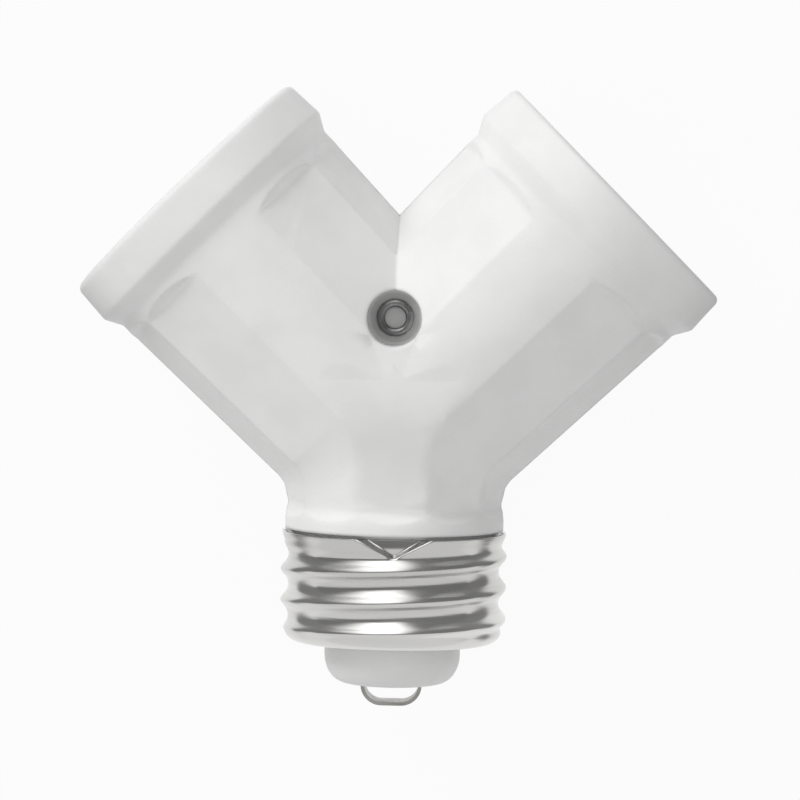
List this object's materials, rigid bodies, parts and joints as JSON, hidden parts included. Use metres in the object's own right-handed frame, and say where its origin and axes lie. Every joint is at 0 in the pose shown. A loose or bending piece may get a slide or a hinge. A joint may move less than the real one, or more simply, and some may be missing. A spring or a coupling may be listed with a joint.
{
  "type": "lamp socket adapter",
  "caption": "Twin lamp socket adapter: a white Y-shaped moulded housing with a medium screw base below and screw sockets at right angles above",
  "frame": {"origin": "centre of the adapter's outline as it lies on its back, on the plane it lies on", "axes": "+Z from the back to the riveted front, +Y from the screw base towards the sockets, +X to the right; the parting plane is level, at Z = 17.3 mm"},
  "size_m": [0.0738, 0.0715, 0.0346],
  "materials": {
    "white_plastic": "fine matte texture",
    "nickel_plate": "bright nickel plate with fine wear marks",
    "socket_shell_metal": "bright rolled",
    "strip_metal": "tinned strip",
    "rivet_steel": "dull zinc plate"
  },
  "bodies": {
    "root": {"front_housing": "white_plastic", "rear_housing": "white_plastic", "housing_rivet": "rivet_steel", "base_screw_shell": "nickel_plate", "live_strip": "strip_metal", "left_screw_shell": "socket_shell_metal", "left_neutral_strip": "strip_metal", "left_shell_rivet": "rivet_steel", "right_screw_shell": "socket_shell_metal", "right_neutral_strip": "strip_metal", "right_shell_rivet": "rivet_steel"}
  },
  "joints": []
}
